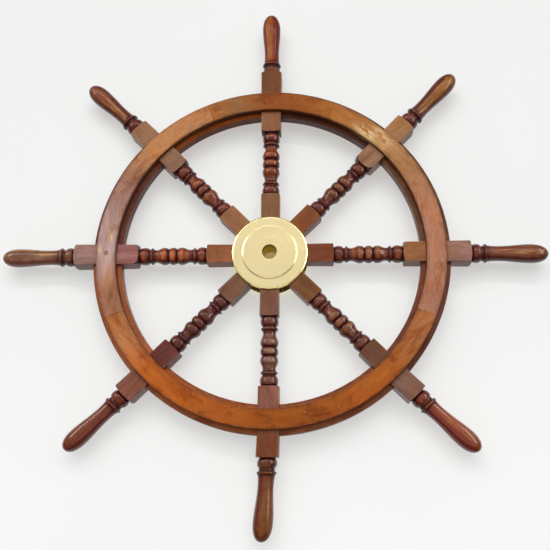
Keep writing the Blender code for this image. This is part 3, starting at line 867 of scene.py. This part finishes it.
def build_rim(facing, middle):
    front_span = (FACING_INNER, FACING_OUTER, RIM_FRONT, MIDDLE_FRONT - LAYER_GAP)
    rear_span = (FACING_INNER, FACING_OUTER, MIDDLE_REAR + LAYER_GAP, RIM_REAR)
    middle_span = (MIDDLE_INNER, MIDDLE_OUTER, MIDDLE_FRONT, MIDDLE_REAR)
    seat, bottom = PLUG_RADIUS + PLUG_GAP, RIM_FRONT + PLUG_DEPTH
    hole = [(seat, RIM_FRONT - 2 * MM), (seat, bottom), (SCREW_HOLE, bottom), (SCREW_HOLE, 0.0)]
    half = PITCH / 2 - 0.5 * TIGHT_JOINT / FACING_INNER
    tight = (TIGHT_JOINT, TIGHT_JOINT)
    for index in range(COUNT):
        low = OPEN_JOINTS.get(index or COUNT, TIGHT_JOINT)
        high = OPEN_JOINTS.get(index + 1, TIGHT_JOINT)
        mesh = felloe_mesh(rounded_section(*front_span, FACING_ARRIS), half, (low, high))
        mesh = cut(mesh, [stock_cutter(), mesh_of("hole", disc_rows(hole, 32, FASTENER_AT))])
        paint_rim(mesh, index, 0, *front_span, ring_stain(index * 45.0),
                  WORN_SPOTS.get(index, ()))
        finish_piece(f"front_rim_{index + 1}", mesh, facing,
                     index * PITCH, [f"front_felloe_{index + 1}"])
        mesh = felloe_mesh(rounded_section(*rear_span, FACING_ARRIS), half, tight)
        mesh = cut(mesh, [stock_cutter()])
        paint_rim(mesh, index + 3, 1, *rear_span, ring_stain(index * 45.0))
        finish_piece(f"rear_rim_{index + 1}", mesh, facing,
                     index * PITCH, [f"rear_felloe_{index + 1}"])
        mesh = felloe_mesh(rounded_section(*middle_span, MIDDLE_ARRIS), PITCH / 2, tight)
        mesh = cut(mesh, [stock_cutter(-PITCH / 2), stock_cutter(PITCH / 2)])
        board = MIDDLE_STAINS[index]
        paint_rim(mesh, index + 5, 2, *middle_span, lambda angle, stain=board: stain)
        finish_piece(f"middle_rim_{index + 1}", mesh, middle,
                     (index + 0.5) * PITCH, [f"middle_felloe_{index + 1}"])


def build_plugs(material):
    profile = [(PLUG_RADIUS - 0.2 * MM, RIM_FRONT + PLUG_DEPTH - 2 * MM),
               (PLUG_RADIUS, RIM_FRONT + 1.0 * MM), (PLUG_RADIUS, RIM_FRONT + 0.35 * MM),
               (PLUG_RADIUS - 0.12 * MM, RIM_FRONT + 0.12 * MM),
               (PLUG_RADIUS - 0.5 * MM, RIM_FRONT + 0.02 * MM), (PLUG_RADIUS * 0.5, RIM_FRONT)]
    for index in range(COUNT):
        mesh = mesh_of("plug", disc_rows(profile, 40, FASTENER_AT))
        stain = (*ring_stain(index * 45.0)(0.0), 0.0 if index == VISIBLE_PLUG else 1.0)
        paint(mesh, grain=[(v.co.x + 0.3 * index, v.co.y, v.co.z) for v in mesh.vertices],
              stain=[stain] * len(mesh.vertices))
        finish_piece(f"plug_{index + 1}", mesh, material, index * PITCH,
                     [f"rim_plug_{index + 1}"])


def plate_outline():
    """Closed (radius, y) outline of a hub plate, back on y = 0 and face towards -Y."""
    face, boss = (PLATE_BACK - PLATE_FACE) / MM, (PLATE_BACK - BOSS_FACE) / MM
    rim = PLATE_RADIUS / MM
    return in_metres([
        (12.0, 0.0), (12.0, boss + 0.6), (12.2, boss + 0.2), (12.6, boss + 0.02), (12.9, boss),
        (26.4, boss), (26.8, boss), (27.2, boss + 0.06), (27.6, boss + 0.06), (28.0, boss),
        (28.4, boss), (43.2, boss), (43.6, boss), (43.9, boss + 0.05), (45.3, boss + 0.80),
        (45.9, face - 0.10), (46.2, face), (46.6, face), (60.0, face), (60.3, face),
        (60.6, face + 0.06), (62.2, face + 0.80), (62.7, face + 1.2), (rim, face + 2.0),
        (rim, -0.35), (rim - 0.35, 0.0),
    ])


def screw_outline(clear=0.0):
    """(radius, y) outline of a hub screw, up to the edge of its head."""
    shank, head, top = SCREW_SHANK + clear, SCREW_HEAD + clear, PLATE_FACE
    return [(shank, top - SCREW_LENGTH), (shank, top - 2.4 * MM),
            (head - 0.15 * MM, top - 0.25 * MM), (head, top - 0.05 * MM - clear)]


def build_plates(brass):
    front = mesh_of("plate", disc_rows(plate_outline(), 144), closed_rows=True)
    front.transform(Matrix.Translation((0, -PLATE_BACK, 0)))
    paint_metal(front)
    finish_piece("hub_plate_front", front, brass, 0.0, ["front_hub_plate"], angle=40)

    mirrored = [(radius, -y) for radius, y in plate_outline()]
    rear = mesh_of("plate", disc_rows(mirrored, 144), closed_rows=True)
    rear.transform(Matrix.Translation((0, PLATE_BACK, 0)))
    cutters = []
    for index in range(COUNT):
        seat = screw_outline(0.15 * MM)
        seat.append((seat[-1][0], PLATE_FACE + 3 * MM))
        cutter = mesh_of("seat", disc_rows(seat, 32, SCREW_AT))
        cutter.transform(Matrix.Rotation(index * PITCH, 4, "Y"))
        cutters.append(cutter)
    rear = cut(rear, cutters)
    paint_metal(rear, 0.5)
    finish_piece("hub_plate_rear", rear, brass, 0.0, ["rear_hub_plate"], angle=40)


def build_sleeve(brass):
    half = STOCK_AT_HUB
    lining = [(BORE, -half + 0.4 * MM), (BORE + 0.4 * MM, -half), (SLEEVE_RADIUS, -half),
              (SLEEVE_RADIUS, half), (BORE + 0.4 * MM, half), (BORE, half - 0.4 * MM)]
    sleeve = mesh_of("sleeve", disc_rows(lining, 96), closed_rows=True)
    paint_metal(sleeve, 0.9)
    finish_piece("hub_lining", sleeve, brass, 0.0, ["hub_sleeve"], angle=40)


def build_hub_screws(brass):
    outline = [*screw_outline(), (SCREW_HEAD * 0.6, PLATE_FACE + 0.1 * MM)]
    width, depth = 0.45 * MM, 0.9 * MM
    slot_rows = [[Vector((x * 2 * SCREW_HEAD, y, z * width)) for x, z in CORNERS]
                 for y in (PLATE_FACE - depth, PLATE_FACE + 2 * MM)]
    for index in range(COUNT):
        screw = mesh_of("screw", disc_rows(outline, 32, SCREW_AT))
        slot_tool = mesh_of("slot", slot_rows)
        slot_tool.transform(Matrix.Rotation(0.7 + 2.1 * index, 4, "Y"))
        slot_tool.transform(Matrix.Translation((0, 0, SCREW_AT)))
        screw = cut(screw, [slot_tool])
        paint_metal(screw, 0.2 * index, SCREW_AT)
        finish_piece(f"slotted_screw_{index + 1}", screw, brass,
                     index * PITCH, [f"hub_screw_{index + 1}"])


# ------------------------ stage

# Strength of the painted light that the wall and floor glow with
PAINTED_WALL_LIGHT = 1.15
# A painted shadow on the wall behind the hub, dimmer and warmer, seen through the bore
SHADOW_BEHIND_BORE = (0.225, 0.172, 0.082)


def one_sided(name, colour):
    """A pale painted surface that glows as painted light, more strongly lower down, clear from
    behind so that it never hides the wheel.
    """
    graph = new_material(name)
    place = graph.add("TexCoord").outputs["Object"]
    cloud = graph.noise(place, (3.0, 3.0, 3.0), 3.0)
    height = graph.add("SeparateXYZ", {0: place}).outputs[2]
    # Painted light: the surface glows, more strongly lower down, which lightens the shadows on it
    rise = graph.span(height, -0.7, 0.6, 1.03, 0.80)
    shade = graph.mix(graph.span(cloud, 0.3, 0.7), colour, tuple(c * 0.985 for c in colour))
    across = graph.vector("MULTIPLY", place, (1.0, 0.0, 1.0))
    reach = graph.add("VectorMath", {0: across}, operation="LENGTH").outputs[1]
    shade = graph.mix(graph.span(reach, 0.03, 0.055, 1.0, 0.0), shade, SHADOW_BEHIND_BORE)
    painted_light = graph.times(rise, PAINTED_WALL_LIGHT)
    graph.shade({"Base Color": shade, "Emission Color": shade, "Emission Strength": painted_light,
                 "Roughness": 0.85, "Specular IOR Level": 0.15})
    behind = graph.add("NewGeometry").outputs["Backfacing"]
    clear = graph.add("BsdfTransparent").outputs[0]
    blend = graph.add("MixShader", {0: behind, 1: graph.shader.outputs[0], 2: clear})
    graph.put(graph.tree.nodes["Material Output"].inputs["Surface"], blend.outputs[0])
    return graph.owner


def build_stage():
    """A wall right behind the wheel and a floor below it. They catch its shadow and are seen,
    but they don't shade it, so the wheel's back is lit too."""
    wall_y, floor_z, half = RIM_REAR + 0.008, -0.95, 3.2
    left, right = (-half, wall_y, floor_z), (half, wall_y, floor_z)
    wall = [left, right, (half, wall_y, half), (-half, wall_y, half)]
    floor = [(-half, -2 * half, floor_z), (half, -2 * half, floor_z), right, left]
    for name, corners, colour in (("wall", wall, (0.445, 0.447, 0.440)),
                                  ("floor", floor, (0.40, 0.395, 0.385))):
        mesh = bpy.data.meshes.new(name)
        mesh.from_pydata(corners, [], [(0, 1, 2, 3)])
        mesh.materials.append(one_sided(name + "_paint", colour))
        surface = new_object("stage_" + name, mesh)
        surface.visible_diffuse = False
        surface.visible_glossy = False
        surface.visible_shadow = False


def area_light(name, place, size, power, aim=(0, 0, 0), colour=(1, 1, 1)):
    data = bpy.data.lights.new(name, "AREA")
    data.shape = "RECTANGLE"
    data.size, data.size_y = size
    data.energy = power
    data.color = colour
    lamp = new_object(name, data)
    lamp.location = place
    lamp.rotation_euler = (Vector(aim) - Vector(place)).to_track_quat("-Z", "Y").to_euler()
    lamp.visible_camera = False
    return lamp


def build_light():
    softbox = area_light("softbox", (0.1, -3.0, 1.1), (3.2, 2.0), 40.0)
    softbox.visible_glossy = False
    area_light("strip", (-0.3, -2.9, 2.15), (4.2, 0.20), 36.0, colour=(1.0, 0.985, 0.96))
    for name, side, height, length in (("left_gleam", -1, 1.5, 1.6), ("right_gleam", 1, 0.9, 2.8)):
        gleam = area_light(name, (2.6 * side, -1.8, height), (0.80, length), 24.0 * length,
                           colour=(1.0, 0.93, 0.85))
        gleam.visible_diffuse = False
    low = area_light("low_gleam", (0.0, -2.2, -1.6), (3.0, 0.25), 5.0, colour=(1.0, 0.95, 0.88))
    low.visible_diffuse = False
    # What varnish and brass see of the bright wall behind them
    sheen = area_light("wall_sheen", (0.0, 0.06, 0.0), (2.4, 2.4), 14.5, aim=(0.0, -1.0, 0.0))
    sheen.visible_diffuse = False
    rear = area_light("rear_fill", (0.6, 2.6, 1.2), (2.2, 1.6), 30.0)
    rear.visible_glossy = False

    world = bpy.data.worlds.new("studio")
    bpy.context.scene.world = world
    graph = Graph(world)
    towards = graph.add("TexCoord").outputs["Generated"]
    parts = graph.add("SeparateXYZ", {0: towards}).outputs
    ahead = graph.span(parts["Y"], -0.95, 0.0, 0.87, 0.14)
    behind = graph.span(parts["Y"], 0.05, 0.8, 0.0, 0.42)
    height = graph.span(parts["Z"], -0.50, 0.10, 0.5, 1.0)
    strength = graph.times(graph.math("ADD", ahead, behind), height)
    backdrop = graph.tree.nodes["Background"].inputs
    graph.put(backdrop["Strength"], strength)
    graph.put(backdrop["Color"], (0.97, 0.985, 1.0))


def build_camera():
    data = bpy.data.cameras.new("camera")
    data.sensor_width = 36.0
    data.lens = 52.73
    camera = new_object("camera", data)
    right = Vector((0.99813, 0.06057, 0.00804))
    back = Vector((0.06048, -0.96084, -0.27043))
    turn = Matrix((right, back.cross(right), back)).transposed()
    camera.matrix_world = Matrix.Translation((0.08921, -1.28757, -0.39645)) @ turn.to_4x4()
    bpy.context.scene.camera = camera


def build():
    scene = bpy.context.scene
    scene.view_settings.view_transform = "Standard"
    facing = rim_wood("rim_facing_wood", (0.74, 0.51, 0.25), roughness=0.36, contrast=0.75)
    middle = rim_wood("rim_middle_wood", (0.36, 0.18, 0.09), roughness=0.42, contrast=0.8)
    brass = brass_metal("lacquered_brass", (0.885, 0.73, 0.395), (0.845, 0.685, 0.345),
                        roughness=(0.16, 0.24))
    screws = brass_metal("screw_head_brass", (0.74, 0.58, 0.30), (0.52, 0.38, 0.17),
                         roughness=(0.30, 0.45))
    steel = screw_steel()
    build_spokes(spoke_wood())
    build_rim(facing, middle)
    build_plugs(plug_wood())
    build_plates(brass)
    build_sleeve(brass)
    build_hub_screws(screws)
    for index in range(COUNT):
        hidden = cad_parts[f"rim_screw_{index + 1}"]
        hidden.material_slots[0].material = steel
    build_stage()
    build_light()
    build_camera()


build()
